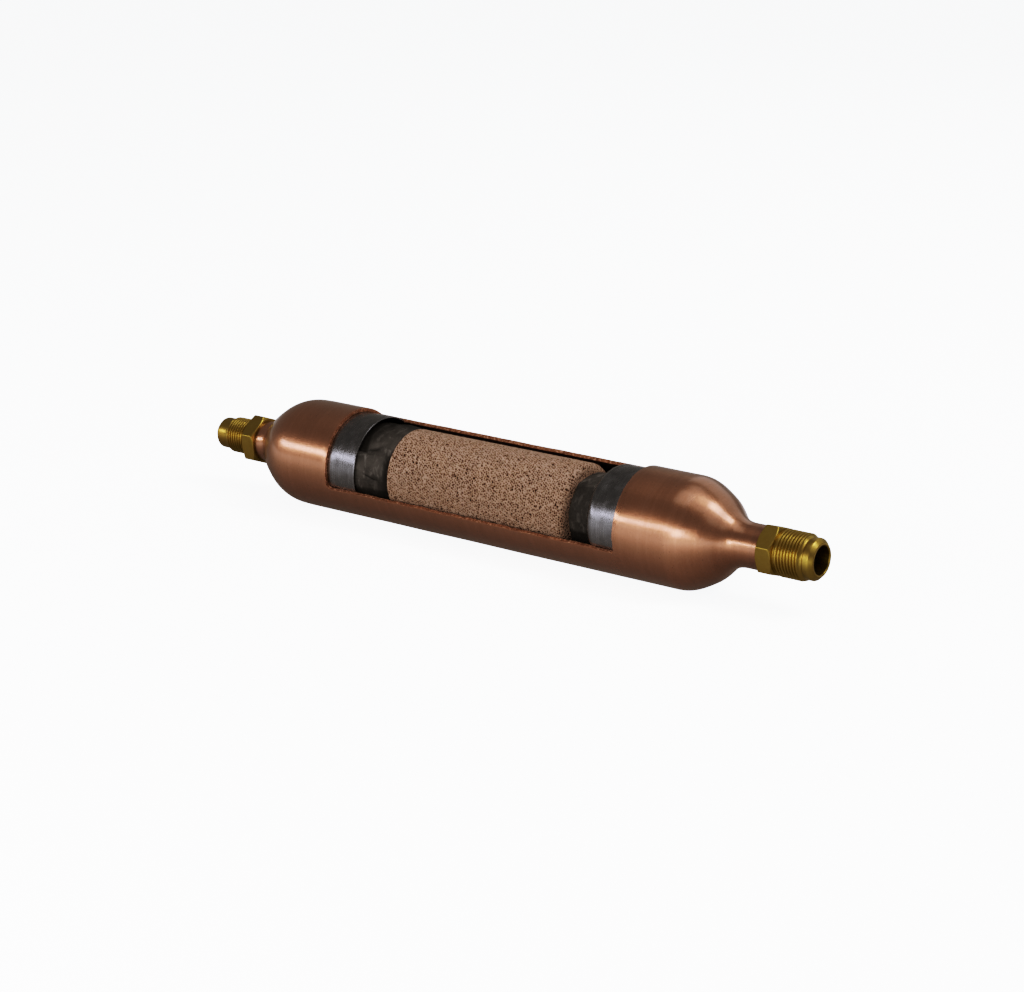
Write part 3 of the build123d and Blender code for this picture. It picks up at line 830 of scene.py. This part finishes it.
# -------------------------------------------------------------------- fittings
def fitting(name, node, s, d, seed):
    """Flare fitting; s is +1 towards the outlet, -1 towards the inlet."""
    sect = []
    base = np.r_[0, 0.7, 1.5, 2.6, 4.2, 6.5, 9.5, 13, 17, 21, 25, 28, 30]
    sect = np.r_[base, 60 - base[-2:0:-1]]
    th = np.concatenate([np.radians(sect + 60 * k + d["turn"]) for k in range(6)])
    nj = len(th)
    rows = []          # (x, r, kind) kind 0 round, 1 hex, 2 thread
    def rnd(x, r): rows.append((x, r, 0))
    rnd(d["spigot0"] + 0.3, d["bore"]); rnd(d["spigot0"], d["bore"] + 0.3)
    rnd(d["spigot0"], d["spigot_r"] - 0.3); rnd(d["spigot0"] + 0.3, d["spigot_r"])
    for x in np.linspace(d["spigot0"] + 0.3, d["hex0"], 5)[1:]:
        rnd(x, d["spigot_r"])
    rc = d["af"] / 2 / math.cos(math.radians(30))
    rin = d["af"] / 2 - 0.2
    ch = (rc - rin) * math.tan(math.radians(30))
    rnd(d["hex0"], rin - 1.0); rnd(d["hex0"], rin - 0.02)
    w = d["hex1"] - d["hex0"]
    for u in np.linspace(0, 1, 7):
        rows.append((d["hex0"] + ch * u, rin + (rc - rin) * u, 1))
    for u in np.linspace(0, 1, 9)[1:-1]:
        rows.append((d["hex0"] + ch + (w - 2 * ch) * u, 99, 1))
    for u in np.linspace(1, 0, 7):
        rows.append((d["hex1"] - ch * u, rin + (rc - rin) * u, 1))
    rnd(d["hex1"], rin - 0.02)
    rnd(d["hex1"], d["relief_r"] + 0.15); rnd(d["hex1"] + 0.12, d["relief_r"])
    t0, t1 = d["relief1"], d["thread1"]
    rnd(t0 - 0.2, d["relief_r"])
    n = int((t1 - t0) / d["pitch"] * 14)
    for x in np.linspace(t0, t1, n):
        rows.append((x, d["thread_r"], 2))
    for x, r in d["nose"]:
        rnd(x, r)
    for x in np.linspace(d["tip"] - 0.6, d["spigot0"] + 0.3, 16)[:-1]:
        rnd(x, d["bore"])
    x = np.array([r[0] for r in rows], float)[:, None]
    r = np.array([r[1] for r in rows], float)[:, None]
    kind = np.array([r[2] for r in rows])[:, None]
    T = np.repeat(th[None], len(rows), 0)
    # across flats, corners rounded
    loc = (np.degrees(T) - d["turn"] + 30) % 60 - 30      # 0 at a corner
    hexr = d["af"] / 2 / np.cos(np.radians(30 - np.abs(loc)))
    hexr = np.minimum(hexr, rc - 0.10 - 0.004 * loc ** 2 * (np.abs(loc) < 6))
    dep = 0.61 * d["pitch"]
    ph = (x / d["pitch"] + s * T / (2 * np.pi)) % 1.0
    # 60 degree form with flats at crest and root
    tri = np.abs(2 * ph - 1)
    prof = smooth(tri, 0.10, 0.90)
    fade = smooth(x, t0 - 0.2, t0 + 0.9 * d["pitch"]) * (1 - smooth(x, t1 - 0.9 * d["pitch"], t1))
    thr = d["thread_r"] - dep * prof
    endr = d["nose"][0][1]
    core_r = np.where(x < (t0 + t1) / 2, d["relief_r"], max(endr, d["thread_r"] - 1.4))
    lim = core_r + (d["thread_r"] - core_r) * smooth(np.minimum(x - t0, t1 - x), 0.0, 0.75 * d["pitch"])
    thr = np.minimum(thr, lim)
    RR = np.where(kind == 1, np.minimum(r, hexr), np.where(kind == 2, thr, r))
    V = polar(s * x + 0 * T, RR, T)
    f = grid_faces(len(rows), nj, wrap_j=True, wrap_i=True, flip=s < 0)
    return make(name, V.reshape(-1, 3), f, [BRASS], sharp=46, slot="brass", nodes=(node,))


OUT = dict(spigot0=145.9, spigot_r=7.94, bore=6.8, hex0=153.9, hex1=162.2, af=21.9, turn=18.0, relief1=163.0, relief_r=9.9,
           thread_r=11.05, thread1=176.6, pitch=1.59, tip=182.5,
           nose=[(176.65, 9.6), (176.85, 9.38), (177.1, 9.35), (177.4, 9.37), (177.55, 9.5), (177.75, 9.78), (178.0, 9.85), (178.8, 9.85), (179.7, 9.85),
                 (180.3, 9.83), (180.6, 9.7), (181.0, 9.33), (181.7, 8.64), (182.2, 8.14), (182.42, 7.9), (182.5, 7.7), (182.5, 7.3),
                 (182.48, 7.08), (182.35, 6.9), (182.1, 6.82)])
INL = dict(spigot0=143.2, spigot_r=7.94, bore=5.15, hex0=151.2, hex1=159.4, af=23.2, turn=21.0, relief1=160.2, relief_r=8.3,
           thread_r=9.2, thread1=173.6, pitch=1.588, tip=182.5,
           nose=[(173.8, 8.0), (174.1, 7.9), (175.6, 7.9), (177.6, 7.9), (179.6, 7.9), (180.1, 7.85), (180.4, 7.7), (181.0, 7.12), (181.8, 6.32),
                 (182.25, 5.87), (182.45, 5.65), (182.5, 5.5), (182.45, 5.32), (182.3, 5.2)])

shell()
cup("inlet_cup_steel", "inlet_cup", -93.1, 0.0, 61)
cup("outlet_cup_steel", "outlet_cup", 68.8, 1.6, 62)
core()
inlet_wrap()
outlet_wrap()
pad("inlet_fibre_pad", "inlet_pad", -91.4, -54.6, 20.6)
pad("outlet_fibre_pad", "outlet_pad", 55.2, 67.9, 16.8)
fitting("outlet_flare_fitting", "outlet_fitting", 1, OUT, 71)
fitting("inlet_flare_fitting", "inlet_fitting", -1, INL, 72)
for nd in ("inlet_braze", "outlet_braze"):
    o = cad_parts[nd]
    for k in range(len(o.material_slots)):
        o.material_slots[k].material = FILLER


# ----------------------------------------------------------------------- floor
fl = bpy.data.meshes.new("floor")
fl.from_pydata([(-40, -40, -0.027), (40, -40, -0.027), (40, 40, -0.027), (-40, 40, -0.027)], [], [(0, 1, 2, 3)])
flo = bpy.data.objects.new("floor", fl)
scene.collection.objects.link(flo)
fm = Mat("pale_floor")
fm.b.inputs["Specular IOR Level"].default_value = 0.0
fm.b.inputs["Roughness"].default_value = 1.0
lp = fm.n("ShaderNodeLightPath")
seen = lp.outputs["Is Camera Ray"]
glossy = lp.outputs["Is Glossy Ray"]
fm.put(Base_Color=fm.mix(seen, (0.22, 0.20, 0.18), (0.90, 0.90, 0.90)))
# the sweep shows in the metal as a soft ramp, dim close to the part: a painted shadow of the part, seen only in
# reflections
sep = fm.n("ShaderNodeSeparateXYZ")
fm.link(fm.tc.outputs["Object"], sep.inputs[0])
away = fm.ramp(fm.mapr(fm.math("ABSOLUTE", sep.outputs["Y"]), 0.02, 0.26, 0, 1),
               [(0.0, (0.07,) * 3), (0.06, (0.11,) * 3), (0.16, (0.21,) * 3), (0.39, (0.45,) * 3), (0.9, (0.80,) * 3)])
front = fm.mapr(sep.outputs["Y"], -0.02, 0.02, 1.0, 0.45)
along = fm.mapr(sep.outputs["X"], -0.10, 0.22, 1.0, 1.7)
mirror = fm.math("MULTIPLY", fm.math("MULTIPLY", away, fm.math("MULTIPLY", front, along)), glossy)
fm.b.inputs["Emission Color"].default_value = (1, 1, 1, 1)
fm.link(fm.math("ADD", fm.math("MULTIPLY", seen, 1.75), mirror), fm.b.inputs["Emission Strength"])
fl.materials.append(fm.m)


# ---------------------------------------------------------------------- lights
def area(name, pos, to, sx, sy, power, color=(1, 1, 1)):
    li = bpy.data.lights.new(name, "AREA")
    li.shape = "RECTANGLE"
    li.size, li.size_y, li.energy, li.color = sx, sy, power, color
    ob = bpy.data.objects.new(name, li)
    scene.collection.objects.link(ob)
    from mathutils import Vector
    ob.location = pos
    d = Vector(to) - Vector(pos)
    ob.rotation_euler = d.to_track_quat("-Z", "Y").to_euler()
    return ob


def ring_area(name, az, el, dist, w, h, radiance, color=(1, 1, 1)):
    """A panel in the direction az (from -Y towards +X), el, facing the part."""
    a, e = math.radians(az), math.radians(el)
    pos = (dist * math.cos(e) * math.sin(a), -dist * math.cos(e) * math.cos(a), dist * math.sin(e))
    return area(name, pos, (0, 0, 0), w, h, radiance * math.pi * w * h, color)


ring_area("key_left", -44, 14.5, 1.2, 0.68, 0.15, 6.2, (1.0, 0.985, 0.99))
ring_area("key_mid", -9, 16, 1.2, 0.70, 0.19, 4.4, (1.0, 0.985, 0.99))
ring_area("key_right", 19, 12, 1.2, 0.45, 0.27, 5.3, (1.0, 0.985, 0.99))
ring_area("low_fill", 8, 5, 1.25, 2.6, 0.15, 1.2)
ring_area("high_right", 112, 53, 1.5, 0.46, 0.62, 4.8)
ring_area("right_dim", 86, 46, 1.5, 0.8, 0.9, 0.45)
ring_area("overhead", 120, 76, 1.6, 1.5, 0.6, 0.4)
ring_area("top_dim", -10, 83, 1.6, 1.0, 0.9, 0.50)
ring_area("back_fill", 175, 34, 1.6, 1.8, 1.0, 0.38)

world = scene.world or bpy.data.worlds.new("World")
scene.world = world
world.use_nodes = True
bg = world.node_tree.nodes["Background"]
bg.inputs[0].default_value = (0.9, 0.88, 0.85, 1)
bg.inputs[1].default_value = 0.20

# ---------------------------------------------------------------------- camera
from mathutils import Matrix
cd = bpy.data.cameras.new("cam")
cd.sensor_fit = "AUTO"
cd.sensor_width = 36.0
cd.lens = 36.0 * 2600.0 / 1024.0
cd.clip_start, cd.clip_end = 0.05, 60.0
cam = bpy.data.objects.new("cam", cd)
scene.collection.objects.link(cam)
rt, up, bk = (0.7915612, 0.6110899, 0.0), (-0.1717252, 0.2224403, 0.9597035), (0.5864651, -0.7596640, 0.2810146)
cam.matrix_world = Matrix(((rt[0], up[0], bk[0], 0.74571), (rt[1], up[1], bk[1], -0.95492), (rt[2], up[2], bk[2], 0.35198), (0, 0, 0, 1)))
scene.camera = cam
